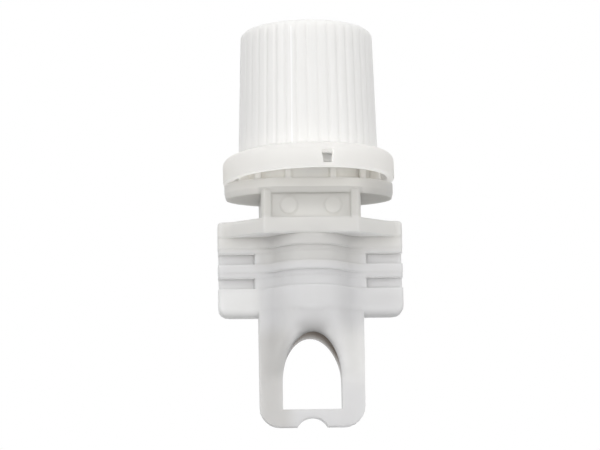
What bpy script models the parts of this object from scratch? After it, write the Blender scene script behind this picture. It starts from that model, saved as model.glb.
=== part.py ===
"""Pouch spout with a ribbed screw cap, a tamper band and a sealing liner.

Metres, +Z up along the bore, X along the weld boat, front at -Y. The origin is the middle of the
weld boat, where the pouch holds the spout.
"""
import math

import bmesh
import bpy
from mathutils import Matrix, Vector

MM = 0.001

# Bore and tubes
BORE_RADIUS = 4.95 * MM
TUBE_WALL = 1.3 * MM
ROUND_STEPS = 64
PAD_STEPS = 24

# Weld boat: a plate over a barrel with flat wings, bands from the bottom up
BOAT_LENGTH = 30.0 * MM
PLATE_DEPTH = 13.8 * MM
PLATE_SHOULDER = 7.6 * MM
PLATE_CROWN = 0.35 * MM
PLATE_TIP = 0.9 * MM
PLATE_STEP = 0.12 * MM
PLATE_CORNER = 0.5 * MM
BARREL_RADIUS = 6.8 * MM
WING_DEPTH = 4.0 * MM
WING_FILLET = 3.5 * MM
WING_TIP_ROUND = 0.5 * MM
BOAT_CORNER = 1.6 * MM
BOAT_EDGE = 0.9 * MM
LOWER_BAND = 4.5 * MM
POCKET_HEIGHT = 1.73 * MM
MIDDLE_RIB = 2.24 * MM
SECOND_BAND = 2.7 * MM
TOP_RIB = 2.5 * MM
CORE_LENGTH = 18.0 * MM
GROOVE_DEPTH = 0.35 * MM
GROOVE_RISE = 0.85 * MM
POCKET_WEB = 1.6 * MM
POCKET_WALL_LEAN = 0.2 * MM

# Leg below the boat
LEG_LENGTH = 17.8 * MM
LEG_WIDTH = 17.0 * MM
LEG_CORNER = 3.3 * MM
LEG_PLATE = 2.5 * MM
LEG_PLATE_LENGTH = 8.3 * MM
LEG_ROOT_DEPTH = 13.2 * MM
LEG_INSET = 0.15 * MM
LEG_SWEEP = 1.5 * MM
LEG_BLEND = 1.2 * MM
SILL_HEIGHT = 2.8 * MM
NOTCH_RADIUS = 2.73 * MM
NOTCH_HEIGHT = 1.5 * MM

# Neck, rail flange and finish base
NECK_HEIGHT = 4.0 * MM
NECK_SKIN = 0.05 * MM
FIN_SPAN = 16.05 * MM
FIN_WIDTH = 1.6 * MM
FIN_RISE = 0.25 * MM
FIN_CHAMFER = 0.5 * MM
PAD_RADIUS = 1.4 * MM
PAD_OFFSET = 3.55 * MM
PAD_RISE = 0.12 * MM
FLANGE_LENGTH = 27.6 * MM
FLANGE_LEDGE = 0.35 * MM
FLANGE_THICKNESS = 2.45 * MM
FLANGE_CROWN = 0.7 * MM
FLANGE_DRAFT = 0.25 * MM
FLANGE_PARTING = 1.0 * MM
BASE_HEIGHT = 2.35 * MM
GUSSET_WIDTH = 1.0 * MM
GUSSET_OFFSETS = (3.6 * MM, 8.5 * MM)

# Snap lips and stop teeth at the ends of the finish base
LIP_REACH = 0.9 * MM
LIP_THICKNESS = 0.8 * MM
LIP_ROOT = 2.0 * MM
LIP_SINK = 0.2 * MM
LIP_HALF_ANGLE = math.radians(19.5)
TOOTH_ANGLE = math.radians(16.0)
TOOTH_WIDTH = 1.0 * MM

# Threaded neck inside the cap
FINISH_HEIGHT = 19.8 * MM
MOUTH_ROUND = 0.35 * MM
THREAD_DEPTH = 1.15 * MM

# Screw cap
CAP_TAPER = 0.55 * MM
CAP_WALL = 1.2 * MM
CAP_ROOF = 1.6 * MM
CAP_EDGE = 1.0 * MM
SLEEVE_WALL = 0.8 * MM
WEB_COUNT = 8
WEB_THICKNESS = 1.0 * MM
RIB_COUNT = 40
RIB_DEPTH = 0.3 * MM
RIB_FLANK = 0.14
RIB_RUNOUT = 0.4 * MM

# Tamper band
BAND_OVERHANG = 0.2 * MM
BAND_LEDGE = 1.2 * MM
BAND_WALL = 1.2 * MM
BAND_HEIGHT = 4.4 * MM
BAND_SHOULDER = 1.3 * MM
LUG_HEIGHT = 1.2 * MM
LUG_HALF_ANGLE = math.radians(7.0)
STUB_COUNT = 8
STUB_WIDTH = 0.6 * MM
STUB_HEIGHT = 0.6 * MM
WINDOW_TURN = math.radians(10.0)
WINDOW_TOP = 1.9 * MM
WINDOW_BOTTOM = 1.4 * MM
WINDOW_HEIGHT = 1.6 * MM
WINDOW_ABOVE_EDGE = 0.75 * MM

# Sealing liner
LINER_THICKNESS = 1.0 * MM
LINER_EDGE = 0.15 * MM

# Clearances between pieces; how far fused shapes run into each other, and stay off shared edges
GAP = 0.3 * MM
STUB_GAP = 0.2 * MM
LUG_GAP = 0.35 * MM
LIP_GAP = 0.7 * MM
OVERLAP = 0.6 * MM
EDGE_STEP = 0.05 * MM

# Heights that follow from the sizes above
BOAT_HEIGHT = LOWER_BAND + MIDDLE_RIB + SECOND_BAND + TOP_RIB + 2 * POCKET_HEIGHT
BOAT_TOP = BOAT_HEIGHT / 2
BOAT_BOTTOM = -BOAT_HEIGHT / 2
FOOT = BOAT_BOTTOM - LEG_LENGTH
FLANGE_BOTTOM = BOAT_TOP + NECK_HEIGHT
FLANGE_TOP = FLANGE_BOTTOM + FLANGE_THICKNESS
BASE_TOP = FLANGE_TOP + BASE_HEIGHT
LIP_TOP = BASE_TOP + LIP_THICKNESS - LIP_SINK
MOUTH = BASE_TOP + FINISH_HEIGHT
BAND_BOTTOM = FLANGE_TOP + GAP
BAND_TOP = BAND_BOTTOM + BAND_HEIGHT
RIB_BOTTOM = BAND_TOP
SKIRT_BOTTOM = LIP_TOP + GAP
LINER_BOTTOM = MOUTH + GAP
ROOF_BOTTOM = LINER_BOTTOM + LINER_THICKNESS + GAP
CAP_TOP = ROOF_BOTTOM + CAP_ROOF
SLEEVE_BOTTOM = BASE_TOP + GAP

# Radii and half depths that follow from the sizes above
TUBE_RADIUS = BORE_RADIUS + TUBE_WALL
NECK_FACE = TUBE_RADIUS + NECK_SKIN
PAD_FACE = NECK_FACE + PAD_RISE
FIN_FACE = NECK_FACE + FIN_RISE
FLANGE_FACE = FIN_FACE + FLANGE_LEDGE
SLEEVE_INNER = TUBE_RADIUS + THREAD_DEPTH + GAP
SLEEVE_OUTER = SLEEVE_INNER + SLEEVE_WALL
BAND_RADIUS = FLANGE_LENGTH / 2 + BAND_OVERHANG
BAND_INNER = BAND_RADIUS - BAND_WALL
BAND_MOUTH = BAND_INNER - BAND_LEDGE
SKIRT_RADIUS = BAND_MOUTH - STUB_GAP - GAP
CAP_RADIUS = SKIRT_RADIUS + RIB_DEPTH
CAP_TOP_RADIUS = CAP_RADIUS - CAP_TAPER
LIP_RADIUS = BAND_INNER - LIP_GAP
BASE_END = LIP_RADIUS - LIP_REACH


def material(name, colour, roughness):
    result = bpy.data.materials.new(name)
    result.use_nodes = True
    shader = result.node_tree.nodes["Principled BSDF"]
    shader.inputs["Base Color"].default_value = (*colour, 1.0)
    shader.inputs["Roughness"].default_value = roughness
    shader.inputs["Metallic"].default_value = 0.0
    return result


def to_object(name, bm, surface=None):
    """Turn a bmesh into an object with its faces pointing out."""
    bmesh.ops.recalc_face_normals(bm, faces=bm.faces)
    mesh = bpy.data.meshes.new(name)
    bm.to_mesh(mesh)
    bm.free()
    mesh.shade_smooth()
    mesh.set_sharp_from_angle(angle=math.radians(30))
    result = bpy.data.objects.new(name, mesh)
    bpy.context.collection.objects.link(result)
    if surface:
        mesh.materials.append(surface)
    return result


def shaped(name, shape):
    """Make a helper object from a function that fills a bmesh."""
    bm = bmesh.new()
    shape(bm)
    return to_object(name, bm)


def combine(target, tool, operation):
    """Fuse a helper shape into an object, or cut it away."""
    tool.hide_render = True
    tool.display_type = "WIRE"
    step = target.modifiers.new(tool.name, "BOOLEAN")
    step.operation = operation
    step.solver = "EXACT"
    step.object = tool


def prism(bm, outline, low, high):
    """Extrude a flat outline of (x, y) points from one height to another."""
    face = bm.faces.new([bm.verts.new((x, y, low)) for x, y in outline])
    grown = bmesh.ops.extrude_face_region(bm, geom=[face])["geom"]
    verts = [item for item in grown if isinstance(item, bmesh.types.BMVert)]
    bmesh.ops.translate(bm, verts=verts, vec=(0, 0, high - low))


def block(bm, x_span, y_span, z_span):
    """Add a box between two values on each axis."""
    outline = [(x_span[0], y_span[0]), (x_span[1], y_span[0])]
    outline += [(x_span[1], y_span[1]), (x_span[0], y_span[1])]
    prism(bm, outline, *z_span)


def turned(bm, profile, turn=0.0, sweep=None, steps=ROUND_STEPS):
    """Spin a closed (radius, height) profile about Z: a whole ring, or a sector centred on a turn."""
    start = turn - (sweep / 2 if sweep else 0.0)
    verts = [bm.verts.new((r * math.cos(start), r * math.sin(start), z)) for r, z in profile]
    edges = [bm.edges.new((verts[i - 1], verts[i])) for i in range(len(verts))]
    geom = verts + edges
    if sweep:
        geom.append(bm.faces.new(verts))
    bmesh.ops.spin(
        bm, geom=geom, cent=(0, 0, 0), axis=(0, 0, 1), dvec=(0, 0, 0),
        angle=sweep or math.tau, steps=steps, use_merge=not sweep, use_duplicate=False,
    )


def skin(bm, rings):
    """Close a solid over rings of equal count, from the lowest to the highest."""
    loops = [[bm.verts.new(point) for point in ring] for ring in rings]
    count = len(loops[0])
    for lower, upper in zip(loops, loops[1:]):
        for i in range(count):
            j = (i + 1) % count
            bm.faces.new((lower[i], lower[j], upper[j], upper[i]))
    bm.faces.new(loops[0])
    bm.faces.new(loops[-1])


def arc(centre, radius, start, end, steps):
    """Points of a round stretch, ends included."""
    turns = [start + (end - start) * i / steps for i in range(steps + 1)]
    return [(centre[0] + radius * math.cos(t), centre[1] + radius * math.sin(t)) for t in turns]


def circle(radius, z):
    """Ring of points round the Z axis at one height."""
    return [(x, y, z) for x, y in arc((0, 0), radius, 0.0, math.tau, ROUND_STEPS)[:-1]]


def spoke(turn, inner, outer, width):
    """Outline of a straight web that runs out from one radius to another."""
    along = Vector((math.cos(turn), math.sin(turn)))
    across = Vector((-along.y, along.x)) * (width / 2)
    return [along * inner - across, along * outer - across, along * outer + across, along * inner + across]


def plate_half_depth(x):
    """Half depth of the boat's top plate: a shallow crown, then straight flanks to the wing tips."""
    half = PLATE_DEPTH / 2
    crown = half - PLATE_CROWN * (x / PLATE_SHOULDER) ** 2
    flank = (half - PLATE_CROWN - PLATE_TIP) / (BOAT_LENGTH / 2 - PLATE_SHOULDER)
    straight = PLATE_TIP + flank * (BOAT_LENGTH / 2 - x)
    return max(min(crown, straight), WING_DEPTH / 2 + PLATE_STEP)


def boat_outline(barrel_inset, root_inset, wing_depth, shorten):
    """Closed outline of one band: a barrel that sweeps through fillets into two flat wings."""
    core_end = CORE_LENGTH / 2
    radius = BARREL_RADIUS - barrel_inset
    root = WING_DEPTH / 2 - root_inset
    turn = math.asin((root + WING_FILLET) / (radius + WING_FILLET))
    centre = ((radius + WING_FILLET) * math.cos(turn), root + WING_FILLET)
    quarter = arc((0, 0), radius, math.pi / 2, turn, 7)
    quarter += arc(centre, WING_FILLET, math.pi + turn, math.pi * 3 / 2, 5)[1:]
    quarter.append((core_end, root))
    tip = wing_depth / 2
    end = BOAT_LENGTH / 2 - shorten
    corner = min(WING_TIP_ROUND, tip - EDGE_STEP)
    start = core_end + POCKET_WALL_LEAN
    wing_steps = 4
    quarter += [(start + (end - corner - start) * i / wing_steps, tip) for i in range(wing_steps)]
    quarter += arc((end - corner, tip - corner), corner, math.pi / 2, 0.0, 3)
    right = [(x, -y) for x, y in quarter] + [(x, y) for x, y in reversed(quarter)]
    left = [(-x, y) for x, y in quarter[1:]] + [(-x, -y) for x, y in reversed(quarter[1:])]
    return right + left


def make_boat(bm):
    """Weld boat below its plate: pockets in the wings, grooves round the barrel, a rounded bottom."""
    rings = []
    steps = 4
    for i in range(steps):
        t = math.pi / 2 * i / steps
        inset = BOAT_EDGE * (1 - math.sin(t))
        shorten = BOAT_CORNER * (1 - math.sin(t))
        outline = boat_outline(inset, inset, WING_DEPTH - 2 * inset, shorten)
        z = BOAT_BOTTOM + BOAT_CORNER * (1 - math.cos(t))
        rings.append([(x, y, z) for x, y in outline])
    rib = boat_outline(0.0, 0.0, WING_DEPTH, 0.0)
    groove = boat_outline(GROOVE_DEPTH, EDGE_STEP, WING_DEPTH - 2 * EDGE_STEP, EDGE_STEP)
    pocket = boat_outline(GROOVE_DEPTH + EDGE_STEP, 2 * EDGE_STEP, POCKET_WEB, 2 * EDGE_STEP)
    low = BOAT_BOTTOM + BOAT_CORNER
    for outline, height in (
        (rib, LOWER_BAND - BOAT_CORNER), (pocket, POCKET_HEIGHT), (groove, GROOVE_RISE),
        (rib, MIDDLE_RIB - GROOVE_RISE), (pocket, POCKET_HEIGHT), (groove, GROOVE_RISE),
        (rib, SECOND_BAND - GROOVE_RISE + OVERLAP),
    ):
        rings.append([(x, y, low) for x, y in outline])
        rings.append([(x, y, low + height) for x, y in outline])
        low += height
    skin(bm, rings)


def make_plate(bm):
    """Top plate of the boat, which overhangs the hollows between barrel and wings."""
    half = BOAT_LENGTH / 2
    steps = 6
    stations = [PLATE_SHOULDER * i / steps for i in range(steps)]
    stations += [PLATE_SHOULDER + (half - PLATE_SHOULDER) * i / steps for i in range(steps)]
    edge = [(x, plate_half_depth(x)) for x in stations]
    tip = plate_half_depth(half)
    edge += arc((half - WING_TIP_ROUND, tip - WING_TIP_ROUND), WING_TIP_ROUND, math.pi / 2, 0.0, 3)
    right = [(x, -y) for x, y in edge] + [(x, y) for x, y in reversed(edge)]
    outline = right + [(-x, y) for x, y in edge[1:]] + [(-x, -y) for x, y in reversed(edge[1:])]
    rings = [[(x, y, BOAT_TOP - TOP_RIB) for x, y in outline]]
    for end, z in arc((half - PLATE_CORNER, BOAT_TOP - PLATE_CORNER), PLATE_CORNER, 0.0, math.pi / 2, 4):
        rings.append([(x * end / half, y, z) for x, y in outline])
    skin(bm, rings)


def boat_half_depth(x):
    """Half depth at x of the boat's barrel and wings, drawn in by the leg's inset."""
    radius = BARREL_RADIUS - LEG_INSET
    root = WING_DEPTH / 2 - LEG_INSET
    turn = math.asin((root + WING_FILLET) / (radius + WING_FILLET))
    centre = (radius + WING_FILLET) * math.cos(turn)
    if x < radius * math.cos(turn):
        return math.sqrt(radius ** 2 - x ** 2)
    return root + WING_FILLET - math.sqrt(WING_FILLET ** 2 - max(centre - x, 0.0) ** 2)


def leg_half_depth(x, level):
    """Half depth of the leg: a plate that sweeps out into a wedge, blended into barrel and wings."""
    slope = (LEG_ROOT_DEPTH - LEG_PLATE) / 2 / (LEG_LENGTH - LEG_PLATE_LENGTH)
    past = level - LEG_PLATE_LENGTH
    if abs(past) < LEG_SWEEP:
        past = (past + LEG_SWEEP) ** 2 / (4 * LEG_SWEEP)
    wedge = LEG_PLATE / 2 + slope * max(past, 0.0)
    wall = boat_half_depth(abs(x))
    mix = max(LEG_BLEND - abs(wedge - wall), 0.0)
    return min(wedge, wall) - mix ** 2 / (4 * LEG_BLEND)


def make_leg(bm):
    """Leg: a thin plate with round lower corners that swells to a wedge as deep as the boat."""
    top = LEG_LENGTH + 2 * OVERLAP
    corner_steps, rise_steps, half_steps = 6, 14, 12
    levels = [LEG_CORNER * (1 - math.cos(math.pi / 2 * i / corner_steps)) for i in range(corner_steps)]
    levels += [LEG_CORNER + (top - LEG_CORNER) * i / rise_steps for i in range(rise_steps + 1)]
    rings = []
    for level in levels:
        under = max(LEG_CORNER - level, 0.0)
        half = LEG_WIDTH / 2 - LEG_CORNER + math.sqrt(LEG_CORNER ** 2 - under ** 2)
        edge = [half * i / half_steps for i in range(-half_steps, half_steps + 1)]
        front = [(x, -leg_half_depth(x, level), FOOT + level) for x in edge]
        rings.append(front + [(x, -y, z) for x, y, z in reversed(front)])
    skin(bm, rings)


def flange_outline(end_inset, face_inset):
    """Oblong outline: an ellipse with its front and back cut flat."""
    a = FLANGE_LENGTH / 2 - end_inset
    b = FLANGE_FACE + FLANGE_CROWN - face_inset
    flat = FLANGE_FACE - face_inset
    steps = 12
    limit = math.asin(flat / b)
    turns = [-limit + 2 * limit * i / steps for i in range(steps + 1)]
    right = [(a * math.cos(t), b * math.sin(t)) for t in turns]
    left = [(-x, -y) for x, y in right]
    return right + left


def flange_half_depth(x):
    """Half depth of the rail flange at x."""
    share = 1 - (2 * x / FLANGE_LENGTH) ** 2
    return min(FLANGE_FACE, (FLANGE_FACE + FLANGE_CROWN) * math.sqrt(share))


def make_flange(bm):
    """Oblong rail flange that a filling machine's rails carry, drafted below its parting line."""
    parting = FLANGE_BOTTOM + FLANGE_PARTING
    levels = ((FLANGE_DRAFT, FLANGE_BOTTOM), (0.0, parting), (0.0, FLANGE_TOP))
    skin(bm, [[(x, y, z) for x, y in flange_outline(inset, inset)] for inset, z in levels])


def make_base(bm):
    """Finish base on the rail flange, flush with the neck's panel; the cap's sleeve comes down on it."""
    outline = flange_outline(FLANGE_LENGTH / 2 - BASE_END, FLANGE_FACE - NECK_FACE)
    prism(bm, outline, FLANGE_TOP - OVERLAP, BASE_TOP)


def make_neck(bm):
    """Short neck round the tube: a flat panel front and back, between two side fins."""
    span = (BOAT_TOP - OVERLAP, FLANGE_BOTTOM + OVERLAP)
    outer = FIN_SPAN / 2
    inner = outer - FIN_WIDTH
    fin = [(inner, -NECK_FACE), (inner, -FIN_FACE)]
    fin += [(outer - FIN_CHAMFER, -FIN_FACE), (outer, FIN_CHAMFER - FIN_FACE)]
    right = fin + [(x, -y) for x, y in reversed(fin)]
    prism(bm, right + [(-x, -y) for x, y in right], *span)


def make_pads(bm):
    """Round ejector marks that stand a little out of the neck's panels, front and back."""
    middle = (BOAT_TOP + FLANGE_BOTTOM) / 2
    for x in (-PAD_OFFSET, PAD_OFFSET):
        ring = arc((x, middle), PAD_RADIUS, 0.0, math.tau, PAD_STEPS)[:-1]
        for inner, outer in ((-OVERLAP, -PAD_FACE), (OVERLAP, PAD_FACE)):
            skin(bm, [[(u, y, z) for u, z in ring] for y in (inner, outer)])


def make_gussets(bm):
    """Upright gussets on the rail flange, flush with its front and back edges."""
    span = (FLANGE_TOP - OVERLAP, BASE_TOP - OVERLAP / 2)
    for offset in GUSSET_OFFSETS:
        reach = flange_half_depth(offset + GUSSET_WIDTH / 2) - EDGE_STEP
        for x in (-offset, offset):
            for y_span in ((-reach, -OVERLAP), (OVERLAP, reach)):
                block(bm, (x - GUSSET_WIDTH / 2, x + GUSSET_WIDTH / 2), y_span, span)


def make_snaps(bm):
    """Outward lips over the two ends of the finish base, which keep the tamper band down."""
    low = LIP_TOP - LIP_THICKNESS
    inner = BASE_END - LIP_ROOT
    profile = [(inner, low), (LIP_RADIUS, low), (LIP_RADIUS, LIP_TOP), (inner, LIP_TOP)]
    for turn in (0.0, math.pi):
        turned(bm, profile, turn, 2 * LIP_HALF_ANGLE, 9)


def make_teeth(bm):
    """Stop teeth under each end of a lip, which keep the tamper band from turning with the cap."""
    inner = BASE_END - LIP_ROOT + OVERLAP
    outer = LIP_RADIUS - EDGE_STEP
    for end in (0.0, math.pi):
        for side in (-TOOTH_ANGLE, TOOTH_ANGLE):
            outline = spoke(end + side, inner, outer, TOOTH_WIDTH)
            prism(bm, outline, FLANGE_TOP - OVERLAP, LIP_TOP - LIP_THICKNESS / 2)


def make_tube(bm):
    """Round tube from the neck to the mouth, with a rounded rim."""
    low = BOAT_TOP - OVERLAP
    rim = arc((TUBE_RADIUS - MOUTH_ROUND, MOUTH - MOUTH_ROUND), MOUTH_ROUND, math.pi / 2, 0.0, 4)
    inner = BORE_RADIUS - OVERLAP
    turned(bm, [(inner, low), (inner, MOUTH)] + rim + [(TUBE_RADIUS, low)])


def make_spout(surface):
    """The spout is one moulding: boat, leg, neck, flange, base and tube fused, then bored."""
    bm = bmesh.new()
    make_boat(bm)
    spout = to_object("spout_body", bm, surface)
    for name, shape in (
        ("leg", make_leg), ("plate", make_plate), ("neck", make_neck), ("flange", make_flange),
        ("base", make_base), ("gussets", make_gussets), ("snaps", make_snaps), ("teeth", make_teeth),
        ("tube", make_tube), ("pads", make_pads),
    ):
        combine(spout, shaped(name, shape), "UNION")
    bm = bmesh.new()
    sill = FOOT + SILL_HEIGHT
    skin(bm, [circle(BORE_RADIUS, sill), circle(BORE_RADIUS, MOUTH + OVERLAP)])
    combine(spout, to_object("bore", bm), "DIFFERENCE")
    bm = bmesh.new()
    skin(bm, [circle(NOTCH_RADIUS, -LEG_PLATE), circle(NOTCH_RADIUS, LEG_PLATE)])
    bm.transform(Matrix.Rotation(math.pi / 2, 4, "X"))
    bm.transform(Matrix.Translation((0, 0, FOOT + NOTCH_HEIGHT - NOTCH_RADIUS)))
    combine(spout, to_object("notch", bm), "DIFFERENCE")
    return spout


def ribbed_ring(radius, depth, z):
    """One ring of the skirt: every rib has two crest points and two valley points."""
    ring = []
    pitch = math.tau / RIB_COUNT
    for rib in range(RIB_COUNT):
        for share in (-0.5 + RIB_FLANK, 0.5 - 2 * RIB_FLANK, 0.5 - RIB_FLANK, 0.5):
            t = pitch * (rib + share)
            r = radius - depth if share > 0.5 - 2 * RIB_FLANK else radius
            ring.append((r * math.cos(t), r * math.sin(t), z))
    return ring


def make_cap(surface):
    """Screw cap: a ribbed cup with an inner sleeve, tied to the skirt by upright webs."""
    bm = bmesh.new()
    shoulder = CAP_TOP - CAP_EDGE
    rings = [ribbed_ring(SKIRT_RADIUS, 0.0, SKIRT_BOTTOM), ribbed_ring(SKIRT_RADIUS, 0.0, RIB_BOTTOM)]
    rings.append(ribbed_ring(CAP_RADIUS, RIB_DEPTH, RIB_BOTTOM + RIB_RUNOUT))
    rings.append(ribbed_ring(CAP_TOP_RADIUS, RIB_DEPTH, shoulder))
    centre = (CAP_TOP_RADIUS - CAP_EDGE, shoulder)
    edge = arc(centre, CAP_EDGE, 0.0, math.pi / 2, 4)[1:]
    for i, (radius, z) in enumerate(edge):
        fade = 1 - (i + 1) / len(edge)
        rings.append(ribbed_ring(radius, RIB_DEPTH * fade, z))
    skin(bm, rings)
    cap = to_object("screw_cap", bm, surface)

    taper = CAP_TAPER / (shoulder - RIB_BOTTOM)
    low_radius = CAP_RADIUS - CAP_WALL
    high_radius = low_radius - taper * (ROOF_BOTTOM - RIB_BOTTOM)
    bm = bmesh.new()
    levels = ((low_radius, SKIRT_BOTTOM - OVERLAP), (low_radius, RIB_BOTTOM), (high_radius, ROOF_BOTTOM))
    skin(bm, [circle(r, z) for r, z in levels])
    combine(cap, to_object("cap_hollow", bm), "DIFFERENCE")

    bm = bmesh.new()
    roof = ROOF_BOTTOM + OVERLAP
    profile = [(SLEEVE_INNER, SLEEVE_BOTTOM), (SLEEVE_INNER, roof)]
    profile += [(SLEEVE_OUTER, roof), (SLEEVE_OUTER, SLEEVE_BOTTOM)]
    turned(bm, profile)
    combine(cap, to_object("cap_sleeve", bm), "UNION")

    bm = bmesh.new()
    inner = SLEEVE_OUTER - SLEEVE_WALL / 2
    levels = ((low_radius, SKIRT_BOTTOM + GAP), (low_radius, RIB_BOTTOM), (high_radius, roof))
    for i in range(WEB_COUNT):
        turn = math.tau * (i + 0.5) / WEB_COUNT
        rings = []
        for wall, z in levels:
            outline = spoke(turn, inner, wall + OVERLAP / 2, WEB_THICKNESS)
            rings.append([(x, y, z) for x, y in outline])
        skin(bm, rings)
    combine(cap, to_object("cap_webs", bm), "UNION")
    return cap


def make_band(surface):
    """Tamper band: a round-shouldered collar with one window, snap lugs and broken bridge stubs."""
    bm = bmesh.new()
    shoulder = (BAND_RADIUS - BAND_SHOULDER, BAND_TOP - BAND_SHOULDER)
    outside = arc(shoulder, BAND_SHOULDER, 0.0, math.pi / 2, 5)
    under = BAND_TOP - BAND_WALL
    profile = [(BAND_INNER, BAND_BOTTOM), (BAND_RADIUS, BAND_BOTTOM)] + outside
    profile += [(BAND_MOUTH, BAND_TOP), (BAND_MOUTH, under), (BAND_INNER, under)]
    turned(bm, profile)
    band = to_object("tamper_band", bm, surface)

    bm = bmesh.new()
    lug_top = LIP_TOP - LIP_THICKNESS - LUG_GAP
    reach = BASE_END + LUG_GAP
    lug = [(reach, lug_top - LUG_HEIGHT), (BAND_INNER + OVERLAP, lug_top - LUG_HEIGHT)]
    lug += [(BAND_INNER + OVERLAP, lug_top), (reach, lug_top)]
    for turn in (0.0, math.pi):
        turned(bm, lug, turn, 2 * LUG_HALF_ANGLE, 4)
    combine(band, to_object("band_lugs", bm), "UNION")

    bm = bmesh.new()
    stub_top = BAND_TOP - (BAND_WALL - STUB_HEIGHT) / 2
    stub = [(BAND_MOUTH - GAP, stub_top - STUB_HEIGHT), (BAND_MOUTH + OVERLAP, stub_top - STUB_HEIGHT)]
    stub += [(BAND_MOUTH + OVERLAP, stub_top), (BAND_MOUTH - GAP, stub_top)]
    for i in range(STUB_COUNT):
        turned(bm, stub, math.tau * i / STUB_COUNT, STUB_WIDTH / BAND_MOUTH, 1)
    combine(band, to_object("band_stubs", bm), "UNION")

    bm = bmesh.new()
    low = BAND_BOTTOM + WINDOW_ABOVE_EDGE
    outline = [(-WINDOW_BOTTOM / 2, low), (WINDOW_BOTTOM / 2, low)]
    outline += [(WINDOW_TOP / 2, low + WINDOW_HEIGHT), (-WINDOW_TOP / 2, low + WINDOW_HEIGHT)]
    rings = [[(x, y, z) for x, z in outline] for y in (-BAND_RADIUS - OVERLAP, -BAND_INNER + OVERLAP)]
    skin(bm, rings)
    bm.transform(Matrix.Rotation(WINDOW_TURN, 4, "Z"))
    combine(band, to_object("band_window", bm), "DIFFERENCE")
    return band


def make_liner(surface):
    """Sealing liner: a plain disc with broken edges, free inside the cap's sleeve."""
    bm = bmesh.new()
    radius = SLEEVE_INNER - GAP
    top = LINER_BOTTOM + LINER_THICKNESS
    rings = [circle(radius - LINER_EDGE, LINER_BOTTOM), circle(radius, LINER_BOTTOM + LINER_EDGE)]
    rings += [circle(radius, top - LINER_EDGE), circle(radius - LINER_EDGE, top)]
    skin(bm, rings)
    return to_object("sealing_liner", bm, surface)


for leftover in list(bpy.data.objects):
    bpy.data.objects.remove(leftover, do_unlink=True)

make_spout(material("natural_polyethylene", (0.78, 0.78, 0.77), 0.42))
make_cap(material("white_cap_plastic", (0.87, 0.87, 0.86), 0.35))
make_band(material("white_band_plastic", (0.86, 0.86, 0.85), 0.38))
make_liner(material("liner_foam", (0.8, 0.8, 0.78), 0.8))
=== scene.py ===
import math

import bmesh
import bpy
from mathutils import Matrix, Vector


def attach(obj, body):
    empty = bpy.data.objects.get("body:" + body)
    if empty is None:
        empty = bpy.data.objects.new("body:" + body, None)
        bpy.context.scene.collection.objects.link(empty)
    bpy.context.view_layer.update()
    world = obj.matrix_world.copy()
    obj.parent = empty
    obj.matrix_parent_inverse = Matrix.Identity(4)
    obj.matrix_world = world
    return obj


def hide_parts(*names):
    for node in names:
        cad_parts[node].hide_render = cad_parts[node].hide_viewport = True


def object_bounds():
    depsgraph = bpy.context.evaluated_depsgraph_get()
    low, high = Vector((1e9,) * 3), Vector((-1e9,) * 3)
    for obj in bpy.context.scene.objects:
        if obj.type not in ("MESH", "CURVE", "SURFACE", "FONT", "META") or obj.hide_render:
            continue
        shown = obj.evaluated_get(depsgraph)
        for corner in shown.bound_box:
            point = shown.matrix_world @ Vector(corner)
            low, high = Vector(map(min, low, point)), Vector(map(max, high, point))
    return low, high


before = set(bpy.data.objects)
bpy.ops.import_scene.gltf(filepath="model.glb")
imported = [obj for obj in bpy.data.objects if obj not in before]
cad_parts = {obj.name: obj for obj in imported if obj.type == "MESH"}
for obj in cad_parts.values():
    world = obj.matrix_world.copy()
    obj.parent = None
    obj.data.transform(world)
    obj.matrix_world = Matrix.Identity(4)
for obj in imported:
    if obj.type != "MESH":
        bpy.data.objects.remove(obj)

cad_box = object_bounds()
MM = 0.001


# Spout moulding: one injection-moulded piece of natural polyethylene, milky and see-through at
# thin walls. Its boat is welded into the pouch's seam; the tube carries the thread for the cap.

class Wire:
    """A socket of a node tree. Sums on it add Math nodes, and node() adds any other node."""

    def __init__(self, tree, socket=None):
        self.tree = tree
        self.socket = socket

    def node(self, kind, settings, inputs, output=0):
        made = self.tree.nodes.new(kind)
        for name, value in settings.items():
            setattr(made, name, value)
        for name, value in inputs.items():
            if isinstance(value, Wire):
                self.tree.links.new(value.socket, made.inputs[name])
            else:
                made.inputs[name].default_value = value
        return Wire(self.tree, made.outputs[output])

    def sum_of(self, operation, first, second):
        return self.node("ShaderNodeMath", {"operation": operation}, {0: first, 1: second})

    def __add__(self, other):
        return self.sum_of("ADD", self, other)

    def __radd__(self, other):
        return self.sum_of("ADD", other, self)

    def __sub__(self, other):
        return self.sum_of("SUBTRACT", self, other)

    def __rsub__(self, other):
        return self.sum_of("SUBTRACT", other, self)

    def __mul__(self, other):
        return self.sum_of("MULTIPLY", self, other)

    def __rmul__(self, other):
        return self.sum_of("MULTIPLY", other, self)


def moulded_plastic(name, constants, colour, roughness, normal, through=None):
    """A Principled plastic: plain numbers on its sockets, and three inputs that vary over the piece.

    A thin wall also lets light through: a share of it, in a tint.
    """
    finish = bpy.data.materials.new(name)
    finish.use_nodes = True
    tree = finish.node_tree
    shader = tree.nodes["Principled BSDF"]
    for socket, value in constants.items():
        shader.inputs[socket].default_value = value
    start = Wire(tree)
    for socket, recipe in (("Base Color", colour), ("Roughness", roughness), ("Normal", normal)):
        tree.links.new(recipe(start).socket, shader.inputs[socket])
    if through:
        share, tint = through
        glow = start.node("ShaderNodeBsdfTranslucent", {}, {"Color": tint})
        skin = Wire(tree, shader.outputs["BSDF"])
        mixed = start.node("ShaderNodeMixShader", {}, {0: share, 1: skin, 2: glow})
        tree.links.new(mixed.socket, tree.nodes["Material Output"].inputs["Surface"])
    return finish


def place_on(start):
    return start.node("ShaderNodeTexCoord", {}, {}, "Object")


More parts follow.
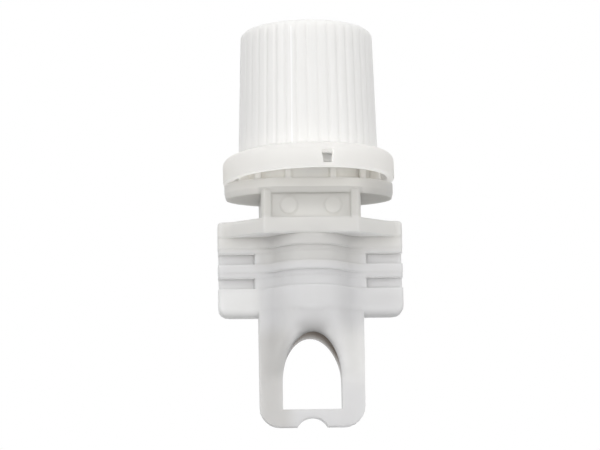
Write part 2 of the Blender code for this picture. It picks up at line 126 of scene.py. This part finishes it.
def cloud(start, scale, detail):
    """Soft noise over the piece; the scale is in turns per metre."""
    inputs = {"Vector": place_on(start), "Scale": scale, "Detail": detail}
    return start.node("ShaderNodeTexNoise", {}, inputs, 0)


def blend_colour(start, factor, first, second):
    settings = {"data_type": "RGBA"}
    inputs = {0: factor, 6: first, 7: second}
    return start.node("ShaderNodeMix", settings, inputs, 2)


def ramp_on(start, value, low, high):
    """0 where a value is at its low end or under, 1 at its high end or over, eased between."""
    settings = {"interpolation_type": "SMOOTHSTEP"}
    return start.node("ShaderNodeMapRange", settings, {"Value": value, "From Min": low, "From Max": high})


def fall_on(start, value, low, high):
    """1 where a value is at its low end or under, 0 at its high end or over, eased between."""
    return ramp_on(start, -1 * value, -high, -low)


def axis_of(start, axis):
    return start.node("ShaderNodeSeparateXYZ", {}, {"Vector": place_on(start)}, axis)


def facing_of(start, axis):
    outward = start.node("ShaderNodeTexCoord", {}, {}, "Normal")
    return start.node("ShaderNodeSeparateXYZ", {}, {"Vector": outward}, axis)


def off_axis(start):
    x, y = axis_of(start, "X"), axis_of(start, "Y")
    return start.sum_of("POWER", x * x + y * y, 0.5)


BORE_RADIUS = 4.95 * MM
BORE_SLACK = 0.15 * MM
FACES_AXIS = 4.0 * MM
PARTING = 12.7 * MM


def bore_mask(start):
    """1 on the wall of the bore, which faces the axis, and 0 on the rest."""
    outward = facing_of(start, "X") * axis_of(start, "X") + facing_of(start, "Y") * axis_of(start, "Y")
    on_wall = fall_on(start, off_axis(start), BORE_RADIUS + BORE_SLACK, BORE_RADIUS + 3 * BORE_SLACK)
    return ramp_on(start, -1 * outward, FACES_AXIS / 2, FACES_AXIS) * on_wall


def boat_colour(start, x, z, wide):
    """The weld boat: warmer at its plate, with painted shade in the middle under the plate and painted
    light on one wing.
    """
    body = blend_colour(start, wide, (0.685, 0.683, 0.69, 1), (0.67, 0.668, 0.672, 1))
    plate = blend_colour(start, wide, (0.695, 0.687, 0.665, 1), (0.69, 0.682, 0.66, 1))
    body = blend_colour(start, ramp_on(start, z, 1.0 * MM, 4.5 * MM), body, plate)
    # Painted shade in the middle of the boat, under the plate's overhang.
    painted_shade_under_plate = ramp_on(start, z, -0.5 * MM, 1.5 * MM) * fall_on(start, z, 4.6 * MM, 5.4 * MM)
    body = blend_colour(start, painted_shade_under_plate * (1 - wide), body, (0.63, 0.622, 0.605, 1))
    # Painted light on the lower band of the left wing.
    painted_light_on_wing = fall_on(start, x, -10 * MM, -7 * MM) * fall_on(start, z, -4.5 * MM, -1.5 * MM)
    return blend_colour(start, painted_light_on_wing, body, (0.77, 0.77, 0.765, 1))


def neck_colour(start, x, z, wide, body):
    """The neck's panels, the flange in two tones that meet at the parting line, and the finish base, all
    with painted light and shade.
    """
    neck = ramp_on(start, z, 7.6 * MM, 8.2 * MM)
    # Painted shade: the neck is dark under the flange, and paler only in the middle near its foot.
    mid_panel = fall_on(start, x * x, (2 * MM) ** 2, (6 * MM) ** 2)
    panel_foot = fall_on(start, z, 8.2 * MM, 10.6 * MM) * mid_panel
    panel_with_painted_shade = blend_colour(start, panel_foot, (0.60, 0.59, 0.56, 1), (0.745, 0.735, 0.70, 1))
    body = blend_colour(start, neck, body, panel_with_painted_shade)
    # The flange's upper tier and its ends: darker at the ends, with painted shade at the right end.
    rim_with_painted_shade = blend_colour(start, wide, (0.75, 0.737, 0.70, 1), (0.68, 0.667, 0.635, 1))
    rim_with_painted_shade = blend_colour(start, ramp_on(start, x, 7 * MM, 11 * MM), rim_with_painted_shade, (0.54, 0.53, 0.505, 1))
    over_parting = ramp_on(start, z, PARTING - 0.08 * MM, PARTING + 0.08 * MM)
    past_fins = ramp_on(start, x * x, (8.1 * MM) ** 2, (8.7 * MM) ** 2)
    on_rim = start.sum_of("MAXIMUM", over_parting, past_fins)
    body = blend_colour(start, neck * on_rim, body, rim_with_painted_shade)
    # Painted light on the finish base inside the collar, fading to painted shade at the right.
    to_right = ramp_on(start, x, 1 * MM, 9 * MM)
    finish_base_painted_light_and_shade = blend_colour(start, to_right, (0.94, 0.918, 0.86, 1), (0.73, 0.707, 0.655, 1))
    body = blend_colour(start, ramp_on(start, z, 13.9 * MM, 14.6 * MM), body, finish_base_painted_light_and_shade)
    # Painted shade on the faces that look down under the flange, darker to the right.
    downward = -1 * facing_of(start, "Z")
    across = ramp_on(start, x, -6 * MM, 6 * MM)
    shade = blend_colour(start, across, (0.58, 0.565, 0.52, 1), (0.46, 0.445, 0.40, 1))
    below_flange = ramp_on(start, z, 11.0 * MM, 11.8 * MM) * ramp_on(start, downward, 0.5, 0.9)
    body = blend_colour(start, below_flange, body, shade)
    # Painted light on the boat's faces that look down: pocket roofs and the plate's underside.
    painted_light_on_ledges = ramp_on(start, downward, 0.35, 0.8) * ramp_on(start, z, -7 * MM, -6 * MM) * (1 - neck)
    return blend_colour(start, painted_light_on_ledges, body, (0.96, 0.955, 0.95, 1))


def leg_colour(start, x, z, body):
    """The wedge leg: painted shade over the arch, painted light where the bore leaves the wall thin,
    painted light on its right side and painted shade on its left.
    """
    leg = fall_on(start, z, -12 * MM, -8 * MM)
    # Painted shade over the top of the leg's arch.
    painted_shade_over_arch = fall_on(start, x * x, (0.5 * MM) ** 2, (3.4 * MM) ** 2)
    painted_shade_over_arch = painted_shade_over_arch * ramp_on(start, z, -17 * MM, -13 * MM) * fall_on(start, z, -10.5 * MM, -8 * MM)
    body = blend_colour(start, 0.6 * painted_shade_over_arch, body, (0.42, 0.415, 0.41, 1))
    # Painted light on the right side of the leg.
    painted_light_right_leg = leg * ramp_on(start, x, 3 * MM, 5.5 * MM) * ramp_on(start, z, -21 * MM, -15 * MM)
    body = blend_colour(start, painted_light_right_leg, body, (0.80, 0.795, 0.785, 1))
    # Painted light near the arch, where the bore leaves the wall thin.
    thin = fall_on(start, off_axis(start), 5.2 * MM, 6.8 * MM) * ramp_on(start, z, -19 * MM, -14 * MM)
    thin = leg * thin * ramp_on(start, x * x, (0.5 * MM) ** 2, (3 * MM) ** 2)
    body = blend_colour(start, thin, body, (0.96, 0.955, 0.95, 1))
    # Painted shade on the left side of the leg.
    painted_shade_left_leg = leg * fall_on(start, x, -5 * MM, -2 * MM)
    return blend_colour(start, painted_shade_left_leg, body, (0.575, 0.567, 0.555, 1))


def natural_colour(start):
    """Milky plastic. Its tones by height and side are set to hold the look of one light, as painted light
    and shade.
    """
    x, z = axis_of(start, "X"), axis_of(start, "Z")
    wide = ramp_on(start, x * x, (6 * MM) ** 2, (10 * MM) ** 2)
    body = boat_colour(start, x, z, wide)
    body = neck_colour(start, x, z, wide, body)
    body = leg_colour(start, x, z, body)
    body = blend_colour(start, 0.4 * cloud(start, 260, 3), body, (0.62, 0.612, 0.60, 1))
    # Painted shade on the bore's wall in the leg.
    painted_shade_in_bore = bore_mask(start) * ramp_on(start, z, -18 * MM, -13 * MM)
    return blend_colour(start, painted_shade_in_bore, body, (0.27, 0.234, 0.204, 1))


def natural_roughness(start):
    return 0.34 + 0.16 * cloud(start, 420, 4) + 0.5 * bore_mask(start)


def natural_normal(start):
    """A fine skin over edges that are soft on the boat and neck, and crisp on the leg."""
    soft_edge = start.node("ShaderNodeBevel", {"samples": 4}, {"Radius": 0.4 * MM})
    crisp_edge = start.node("ShaderNodeNewGeometry", {}, {}, "Normal")
    on_leg = fall_on(start, axis_of(start, "Z"), -11 * MM, -9 * MM)
    edges = {0: on_leg, 4: soft_edge, 5: crisp_edge}
    edge = start.node("ShaderNodeMix", {"data_type": "VECTOR"}, edges, 1)
    skin = {"Strength": 0.10, "Distance": 0.05 * MM, "Height": cloud(start, 1500, 3), "Normal": edge}
    return start.node("ShaderNodeBump", {}, skin)


natural_finish = moulded_plastic(
    "milky_polyethylene",
    {
        "Subsurface Weight": 1.0, "Subsurface Radius": (1.0, 1.0, 1.0), "Subsurface Scale": 3.0 * MM,
        "IOR": 1.5, "Specular IOR Level": 0.4,
    },
    natural_colour, natural_roughness, natural_normal,
)


def only(piece):
    """Make one piece the only selected and the active one."""
    bpy.ops.object.select_all(action="DESELECT")
    piece.select_set(True)
    bpy.context.view_layer.objects.active = piece


def finished(piece, finish, body):
    """Smooth a piece, give it its finish and hang it on its body."""
    only(piece)
    bpy.ops.object.shade_smooth_by_angle(angle=math.radians(32))
    flats = piece.modifiers.new("flats", "WEIGHTED_NORMAL")
    flats.keep_sharp = True
    bpy.ops.object.modifier_apply(modifier=flats.name)
    piece.data.materials.clear()
    piece.data.materials.append(finish)
    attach(piece, body)


def on_bore(face):
    """True for a face of the bore's wall, which looks at the axis."""
    middle = face.calc_center_median()
    outward = face.normal.to_2d().dot(middle.to_2d())
    return middle.to_2d().length < BORE_RADIUS + BORE_SLACK and outward < -FACES_AXIS


spout = bpy.data.objects.new("spout_moulding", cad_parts["spout_body"].data.copy())
bpy.context.scene.collection.objects.link(spout)
only(spout)
bpy.ops.object.mode_set(mode="EDIT")
bpy.ops.mesh.select_all(action="SELECT")
bpy.ops.mesh.remove_doubles(threshold=0.002 * MM)
bpy.ops.mesh.dissolve_limited(angle_limit=math.radians(0.4))
bpy.ops.object.mode_set(mode="OBJECT")
bpy.ops.mesh.customdata_custom_splitnormals_clear()
finished(spout, natural_finish, "spout")
bpy.ops.object.mode_set(mode="EDIT")
mesh = bmesh.from_edit_mesh(spout.data)
for edge in mesh.edges:
    parted = all(abs(corner.co.z - PARTING) < 0.01 * MM for corner in edge.verts)
    edge.select_set(parted or sum(on_bore(face) for face in edge.link_faces) == 1)
bmesh.update_edit_mesh(spout.data)
bpy.ops.mesh.mark_sharp()
bpy.ops.object.mode_set(mode="OBJECT")
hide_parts("spout_body")


# Neck thread: two starts of a rounded ridge moulded with the spout's tube, each a little more than
# one turn long and run out at both ends.

TUBE_RADIUS = 6.25 * MM
THREAD_REACH = 0.95 * MM
THREAD_SINK = 0.25 * MM
THREAD_LEAD = 8.0 * MM
ROOT_HALF, CREST_HALF = 0.8 * MM, 0.32 * MM
STEPS_PER_TURN = 80
RUN_OUT = 0.09


def thread_ridge(name, root, crest, low, turns, start):
    """A half section drawn beside the axis, swept along the helix by a Screw, with sunk ends."""
    bpy.ops.object.select_all(action="DESELECT")
    bpy.ops.mesh.primitive_plane_add(size=1.0, location=(0, 0, 0))
    ridge = bpy.context.object
    ridge.name = name
    corners = [(root, -ROOT_HALF), (crest, -CREST_HALF), (crest, CREST_HALF), (root, ROOT_HALF)]
    order = sorted(ridge.data.vertices, key=lambda v: math.atan2(v.co.y, v.co.x))
    for vertex, (r, z) in zip(order, corners):
        vertex.co = (r, 0, low + z)
    bpy.ops.object.mode_set(mode="EDIT")
    bpy.ops.mesh.select_all(action="SELECT")
    bpy.ops.mesh.bevel(offset=0.18 * MM, segments=2, affect="VERTICES")
    bpy.ops.mesh.delete(type="ONLY_FACE")
    bpy.ops.object.mode_set(mode="OBJECT")
    sweep = ridge.modifiers.new("helix", "SCREW")
    sweep.axis = "Z"
    sweep.angle = math.tau * turns
    sweep.screw_offset = THREAD_LEAD * turns
    sweep.steps = int(STEPS_PER_TURN * turns)
    sweep.render_steps = sweep.steps
    sweep.use_merge_vertices = True
    bpy.ops.object.modifier_apply(modifier=sweep.name)
    sunk = root + (root - crest) * 0.35
    for vertex in ridge.data.vertices:
        angle = math.atan2(vertex.co.y, vertex.co.x)
        radius = math.hypot(vertex.co.x, vertex.co.y)
        travel = vertex.co.z - low
        along = round(travel / THREAD_LEAD - angle / math.tau) + angle / math.tau
        share = min(along, turns - along) / RUN_OUT
        fade = max(0.0, min(1.0, share))
        r = sunk + (radius - sunk) * fade
        vertex.co.x = r * math.cos(angle + start)
        vertex.co.y = r * math.sin(angle + start)
    bpy.ops.object.mode_set(mode="EDIT")
    bpy.ops.mesh.select_all(action="SELECT")
    bpy.ops.mesh.fill_holes(sides=0)
    bpy.ops.mesh.normals_make_consistent(inside=False)
    bpy.ops.object.mode_set(mode="OBJECT")
    return ridge


neck_thread_low, neck_thread_turns = 22.0 * MM, 1.3
for number in range(2):
    ridge = thread_ridge(
        f"neck_thread_{number + 1}", TUBE_RADIUS - THREAD_SINK, TUBE_RADIUS + THREAD_REACH,
        neck_thread_low, neck_thread_turns, math.pi * number,
    )
    finished(ridge, natural_finish, "spout")


# Sealing liner: a disc of white foam punched from sheet, which lies loose under the cap's roof and
# takes the print of the spout's mouth.

def turned_piece(name, section, steps):
    """Draw a half section as a chain of edges beside the bore's axis and spin it into a closed shell."""
    bpy.ops.object.select_all(action="DESELECT")
    bpy.ops.mesh.primitive_plane_add(size=1 * MM, location=(0, 0, 0))
    piece = bpy.context.object
    piece.name = name
    bpy.ops.object.mode_set(mode="EDIT")
    bpy.ops.mesh.select_all(action="SELECT")
    bpy.ops.mesh.merge(type="CENTER")
    before = (0.0, 0.0)
    for count, (r, z) in enumerate(section):
        step = (r - before[0], 0, z - before[1])
        if count:
            bpy.ops.mesh.extrude_region_move(TRANSFORM_OT_translate={"value": step})
        else:
            bpy.ops.transform.translate(value=step)
        before = (r, z)
    bpy.ops.mesh.select_all(action="SELECT")
    bpy.ops.mesh.spin(steps=steps, angle=math.tau, center=(0, 0, 0), axis=(0, 0, 1))
    bpy.ops.mesh.select_all(action="SELECT")
    bpy.ops.mesh.remove_doubles(threshold=0.001 * MM)
    bpy.ops.mesh.normals_make_consistent(inside=False)
    bpy.ops.object.mode_set(mode="OBJECT")
    return piece


def round_off(r, z, radius, start, end, steps=5):
    """Points of a rounded corner in a half section; angles in degrees, 0 outwards and 90 up."""
    turns = [math.radians(start + (end - start) * i / steps) for i in range(steps + 1)]
    return [(r + radius * math.cos(t), z + radius * math.sin(t)) for t in turns]


liner_low, liner_high = 36.6 * MM, 37.6 * MM
liner_radius = 7.4 * MM
liner_edge = 0.2 * MM
mouth_print = 0.12 * MM
section = [(0, liner_low), (4.7 * MM, liner_low), (5.0 * MM, liner_low + mouth_print)]
section += [(6.1 * MM, liner_low + mouth_print), (6.4 * MM, liner_low)]
section += round_off(liner_radius - liner_edge, liner_low + liner_edge, liner_edge, -90, 0)
section += round_off(liner_radius - liner_edge, liner_high - liner_edge, liner_edge, 0, 90)
section += [(0, liner_high)]
liner = turned_piece("foam_liner", section, 96)


def foam_colour(start):
    return blend_colour(start, 0.5 * cloud(start, 900, 4), (0.82, 0.82, 0.80, 1), (0.72, 0.72, 0.69, 1))


def foam_roughness(start):
    return 0.72 + 0.2 * cloud(start, 700, 2)


def foam_normal(start):
    cells = start.node("ShaderNodeTexVoronoi", {}, {"Vector": place_on(start), "Scale": 2600}, "Distance")
    return start.node("ShaderNodeBump", {}, {"Strength": 0.35, "Distance": 0.06 * MM, "Height": cells})


foam_finish = moulded_plastic(
    "liner_foam_sheet", {"Specular IOR Level": 0.25}, foam_colour, foam_roughness, foam_normal,
)
finished(liner, foam_finish, "liner")
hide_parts("sealing_liner")


# Screw cap: a white cup with forty grip ribs outside, a threaded sleeve inside and eight webs
# between the two, moulded in one shot with a satin skin.

RIBS = 40
RIB_STEPS = 8
RIB_VALLEY = ((0, 1.0), (1, 0.12), (6, 0.12), (7, 1.0))
CREST_LINE = ((10.98, 34.0), (11.11, 29.0), (11.25, 24.0), (11.38, 19.4), (11.28, 19.05))
cap_low, cap_high = 17.4 * MM, 39.5 * MM
rib_low = 18.85 * MM
plain_radius = 11.1 * MM
rib_depth, rib_turn = 0.125 * MM, 0.035
roof_low = 37.9 * MM
top_radius, top_edge = 9.85 * MM, 1.0 * MM
skirt_inner, skirt_inner_high, skirt_edge = 10.2 * MM, 9.7 * MM, 0.2 * MM
sleeve_radius, sleeve_inner = 8.5 * MM, 7.7 * MM
sleeve_low, sleeve_shoulder, sleeve_chamfer = 16.57 * MM, 16.7 * MM, 0.15 * MM
skirt_fillet, sleeve_fillet, seat_fillet = 0.4 * MM, 0.3 * MM, 0.2 * MM
section = [(0, cap_high), (5.0 * MM, cap_high)]
section += round_off(top_radius, cap_high - top_edge, top_edge, 90, 0, 7)
section += [(r * MM, z * MM) for r, z in CREST_LINE]
section += [(plain_radius, rib_low)]
section += round_off(plain_radius - skirt_edge, cap_low + skirt_edge, skirt_edge, 0, -90, 3)
section += round_off(skirt_inner + skirt_edge, cap_low + skirt_edge, skirt_edge, -90, -180, 3)
section += [(skirt_inner, rib_low), (skirt_inner_high, roof_low - skirt_fillet)]
section += [(skirt_inner_high - skirt_fillet, roof_low), (sleeve_radius + sleeve_fillet, roof_low)]
section += [(sleeve_radius, roof_low - sleeve_fillet), (sleeve_radius, sleeve_shoulder)]
section += [(sleeve_radius - sleeve_chamfer, sleeve_low), (sleeve_inner + sleeve_chamfer, sleeve_low)]
section += [(sleeve_inner, sleeve_shoulder), (sleeve_inner, roof_low - seat_fillet)]
section += [(sleeve_inner - seat_fillet, roof_low), (0, roof_low)]
cap = turned_piece("ribbed_cap", section, RIBS * RIB_STEPS)

bpy.ops.object.mode_set(mode="EDIT")
mesh = bmesh.from_edit_mesh(cap.data)
for step, share in RIB_VALLEY:
    for corner in mesh.verts:
        radius = math.hypot(corner.co.x, corner.co.y)
        turn = math.atan2(corner.co.y, corner.co.x) / math.tau * RIBS * RIB_STEPS
        ribbed = radius > 9.9 * MM and rib_low + 0.1 * MM < corner.co.z < cap_high - 0.01 * MM
        corner.select_set(ribbed and (round(turn) + RIB_STEPS // 2) % RIB_STEPS == step)
    mesh.select_flush_mode()
    bmesh.update_edit_mesh(cap.data)
    tight = 1 - share * rib_depth / plain_radius
    bpy.ops.transform.resize(value=(tight, tight, 1), center_override=(0, 0, 0))
bpy.ops.object.mode_set(mode="OBJECT")
cap.data.transform(Matrix.Rotation(rib_turn, 4, "Z"))


# The turn at which a faint bright line runs down one side of the cap.
BRIGHT_LINE_TURN = 0.276


def white_colour(start):
    """White skin with a faint bright line down one side, stopping under the top."""
    skin = blend_colour(start, 0.4 * cloud(start, 180, 3), (0.868, 0.86, 0.843, 1), (0.84, 0.832, 0.812, 1))
    round_axis = start.sum_of("ARCTAN2", axis_of(start, "X"), -1 * axis_of(start, "Y"))
    off_bright_line = start.node("ShaderNodeMath", {"operation": "ABSOLUTE"}, {0: round_axis + BRIGHT_LINE_TURN})
    under_top = fall_on(start, axis_of(start, "Z"), cap_high - 1.6 * MM, cap_high - 0.9 * MM)
    bright_line = fall_on(start, off_bright_line, 0.006, 0.013) * under_top
    return blend_colour(start, bright_line, skin, (1, 1, 0.99, 1))


def white_roughness(start):
    return 0.30 + 0.14 * cloud(start, 350, 4)


def white_normal(start):
    skin = {"Strength": 0.08, "Distance": 0.04 * MM, "Height": cloud(start, 2200, 3)}
    return start.node("ShaderNodeBump", {}, skin)


white_finish = moulded_plastic(
    "white_cap_plastic_satin",
    {
        "Subsurface Weight": 1.0, "Subsurface Radius": (1.0, 1.0, 1.0), "Subsurface Scale": 1.5 * MM,
        "Specular IOR Level": 0.45,
    },
    white_colour, white_roughness, white_normal,
)
finished(cap, white_finish, "cap")
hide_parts("screw_cap")


def rounded_block(name, size, middle, edge):
    """A block with rounded edges, set beside the bore's axis."""
    bpy.ops.object.select_all(action="DESELECT")
    bpy.ops.mesh.primitive_cube_add(size=1.0, location=(0, 0, 0))
    block = bpy.context.object
    block.name = name
    bpy.ops.object.mode_set(mode="EDIT")
    bpy.ops.mesh.select_all(action="SELECT")
    bpy.ops.transform.resize(value=size)
    bpy.ops.transform.translate(value=middle)
    bpy.ops.mesh.bevel(offset=edge, segments=2)
    bpy.ops.object.mode_set(mode="OBJECT")
    return block


WEBS = 8
web_low, web_high = 17.7 * MM, roof_low + 0.3 * MM
web_size = (2.2 * MM, 1.0 * MM, web_high - web_low)
web_middle = (9.2 * MM, 0, (web_high + web_low) / 2)
for number in range(WEBS):
    web = rounded_block(f"cap_web_{number + 1}", web_size, web_middle, 0.12 * MM)
    web.data.transform(Matrix.Rotation(math.tau * (number + 0.5) / WEBS, 4, "Z"))
    finished(web, white_finish, "cap")

cap_thread_low, cap_thread_turns, cap_thread_reach = 20.9 * MM, 1.2, 1.0 * MM
for number in range(2):
    ridge = thread_ridge(
        f"cap_thread_{number + 1}", sleeve_inner + THREAD_SINK, sleeve_inner - cap_thread_reach,
        cap_thread_low, cap_thread_turns, math.pi * number,
    )
    finished(ridge, white_finish, "cap")


# Tamper band: the smooth white collar under the cap, moulded with it on thin bridges. The bridges
# are broken here, so it sits a little askew, and two lugs hold it under the spout's lips.

band_low, band_high = 14.45 * MM, 18.6 * MM
band_radius, band_inner, band_mouth = 14.0 * MM, 12.8 * MM, 11.6 * MM
shoulder_edge, foot_edge, inner_edge = 1.3 * MM, 0.25 * MM, 0.2 * MM
roof, roof_fillet = 1.2 * MM, 0.3 * MM
section = round_off(band_inner + inner_edge, band_low + inner_edge, inner_edge, 180, 270, 3)
section += round_off(band_radius - foot_edge, band_low + foot_edge, foot_edge, -90, 0, 4)
section += round_off(band_radius - shoulder_edge, band_high - shoulder_edge, shoulder_edge, 0, 90, 10)
section += round_off(band_mouth + inner_edge, band_high - inner_edge, inner_edge, 90, 180, 3)
section += [(band_mouth, band_high - roof), (band_inner - roof_fillet, band_high - roof)]
section += [(band_inner, band_high - roof - roof_fillet), (band_inner, band_low + inner_edge)]
band = turned_piece("tamper_collar", section, 160)

window_width, window_foot, window_height = 2.13 * MM, 1.52 * MM, 1.85 * MM
window_depth, window_rise = 3.0 * MM, 0.75 * MM
window_face, window_middle, window_split = -13.6 * MM, band_low + 1.57 * MM, band_low + 1.2 * MM
bpy.ops.object.select_all(action="DESELECT")
bpy.ops.mesh.primitive_cube_add(size=1.0, location=(0, 0, 0))
cutter = bpy.context.object
bpy.ops.object.mode_set(mode="EDIT")
bpy.ops.mesh.select_all(action="SELECT")
bpy.ops.transform.resize(value=(window_width, window_depth, window_height))
bpy.ops.transform.translate(value=(0, window_face, window_middle))
mesh = bmesh.from_edit_mesh(cutter.data)
for corner in mesh.verts:
    corner.select_set(corner.co.z < window_split)
mesh.select_flush_mode()
bmesh.update_edit_mesh(cutter.data)
bpy.ops.transform.resize(value=(window_foot / window_width, 1, 1))
for corner in mesh.verts:
    corner.select_set(corner.co.z > window_split and corner.co.y > window_face)
mesh.select_flush_mode()
bmesh.update_edit_mesh(cutter.data)
bpy.ops.transform.translate(value=(0, 0, window_rise))
bpy.ops.object.mode_set(mode="OBJECT")
window_turn = math.radians(10)
cutter.data.transform(Matrix.Rotation(window_turn, 4, "Z"))
only(band)
window = band.modifiers.new("window", "BOOLEAN")
window.operation = "DIFFERENCE"
window.solver = "EXACT"
window.object = cutter
bpy.ops.object.modifier_apply(modifier=window.name)
bpy.data.objects.remove(cutter)
level = Matrix.Translation((0, 0, (band_low + band_high) / 2))
lift = Matrix.Translation((0, 0, 0.1 * MM))
lean = Matrix.Rotation(math.radians(-1.3), 4, "Y")
band.data.transform(lift @ level @ lean @ level.inverted())


def band_colour(start):
    return blend_colour(start, 0.5 * cloud(start, 150, 3), (0.96, 0.955, 0.945, 1), (0.93, 0.925, 0.91, 1))


band_finish = moulded_plastic(
    "white_band_plastic_satin",
    {
        "Subsurface Weight": 1.0, "Subsurface Radius": (1.0, 1.0, 1.0), "Subsurface Scale": 3.0 * MM,
        "Specular IOR Level": 0.45,
    },
    band_colour, white_roughness, white_normal, through=(0.72, (0.98, 0.975, 0.965, 1)),
)
finished(band, band_finish, "band")
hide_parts("tamper_band")

STUBS = 8
stub_size = (0.6 * MM, 0.6 * MM, 0.6 * MM)
stub_middle = (11.62 * MM, 0, band_high - 0.6 * MM)
for number in range(STUBS):
    stub = rounded_block(f"bridge_stub_{number + 1}", stub_size, stub_middle, 0.12 * MM)
    stub.data.transform(Matrix.Rotation(math.tau * number / STUBS, 4, "Z"))
    finished(stub, band_finish, "band")

lug_size = (1.35 * MM, 2.7 * MM, 1.2 * MM)
lug_middle = (12.25 * MM, 0, 15.35 * MM)
for number in range(2):
    lug = rounded_block(f"snap_lug_{number + 1}", lug_size, lug_middle, 0.15 * MM)
    lug.data.transform(Matrix.Rotation(math.pi * number, 4, "Z"))
    finished(lug, band_finish, "band")


# Studio: a pale floor under the foot that is clear from below, because the camera looks up at the
# spout; soft lamps, a white backdrop and the camera of the picture.

foot = cad_box[0][2]
bpy.ops.object.select_all(action="DESELECT")
bpy.ops.mesh.primitive_plane_add(size=3.0, location=(0, 0, foot - 0.05 * MM))
floor = bpy.context.object
floor.name = "studio_floor"
floor_finish = bpy.data.materials.new("pale_floor")
floor_finish.use_nodes = True
tree = floor_finish.node_tree
shader = tree.nodes["Principled BSDF"]
shader.inputs["Base Color"].default_value = (0.86, 0.86, 0.86, 1)
shader.inputs["Roughness"].default_value = 0.9
start = Wire(tree)
looked_at = start.node("ShaderNodeLightPath", {}, {}, "Is Camera Ray")
under = start.node("ShaderNodeNewGeometry", {}, {}, "Backfacing")
clear = start.node("ShaderNodeBsdfTransparent", {}, {})
lit = Wire(tree, shader.outputs["BSDF"])
mixed = start.node("ShaderNodeMixShader", {}, {0: looked_at * (1 - under), 1: clear, 2: lit})
tree.links.new(mixed.socket, tree.nodes["Material Output"].inputs["Surface"])
floor.data.materials.append(floor_finish)

world = bpy.data.worlds.new("white_studio")
bpy.context.scene.world = world
world.use_nodes = True
tree = world.node_tree
start = Wire(tree)
seen = start.node("ShaderNodeLightPath", {}, {}, "Is Camera Ray")
gloss = start.node("ShaderNodeLightPath", {}, {}, "Is Glossy Ray")
through = start.node("ShaderNodeLightPath", {}, {}, "Is Transmission Ray")
upward = start.node("ShaderNodeTexCoord", {}, {}, "Generated")
upward = start.node("ShaderNodeSeparateXYZ", {}, {"Vector": upward}, "Z")
ambient = 0.38 + 0.4 * ramp_on(start, upward, -0.3, 0.2)
strength = ambient + (1 - ambient) * start.sum_of("MINIMUM", seen + gloss + through, 1.0)
tree.nodes["Background"].inputs["Color"].default_value = (1, 1, 1, 1)
tree.links.new(strength.socket, tree.nodes["Background"].inputs["Strength"])


def soft_lamp(name, place, target, size, power):
    lamp = bpy.data.lights.new(name, "AREA")
    lamp.shape = "DISK"
    lamp.size = size
    lamp.energy = power
    stand = bpy.data.objects.new(name, lamp)
    bpy.context.scene.collection.objects.link(stand)
    stand.location = place
    stand.rotation_euler = (Vector(target) - Vector(place)).to_track_quat("-Z", "Y").to_euler()


soft_lamp("key_lamp", (-0.42, -0.52, 0.20), (0, 0, 0.01), 0.4, 0.9)
soft_lamp("fill_lamp", (0.45, -0.50, 0.12), (0, 0, 0.0), 0.4, 0.5)
soft_lamp("top_lamp", (0.0, 0.1, 0.7), (0, 0, 0.0), 0.6, 0.1)
soft_lamp("low_lamp", (0.04, -0.66, -0.15), (0, 0, 0.0), 0.4, 1.25)

AZIMUTH = math.radians(-3.0)
PITCH = math.radians(9.75)
ROLL = math.radians(-1.0)
DISTANCE = 390 * MM
DROP = 34 * MM
level_reach = math.cos(PITCH)
ahead = Vector((-math.sin(AZIMUTH) * level_reach, math.cos(AZIMUTH) * level_reach, math.sin(PITCH)))
lens = bpy.data.cameras.new("picture_camera")
lens.sensor_width = 36
lens.lens = 145.48
lens.shift_x = -0.0155
lens.clip_start = 0.01
camera = bpy.data.objects.new("picture_camera", lens)
bpy.context.scene.collection.objects.link(camera)
turn = ahead.to_track_quat("-Z", "Y").to_matrix().to_4x4() @ Matrix.Rotation(ROLL, 4, "Z")
place = (math.sin(AZIMUTH) * DISTANCE, -math.cos(AZIMUTH) * DISTANCE, foot - DROP)
camera.matrix_world = Matrix.Translation(place) @ turn
bpy.context.scene.camera = camera
bpy.context.scene.view_settings.view_transform = "Standard"
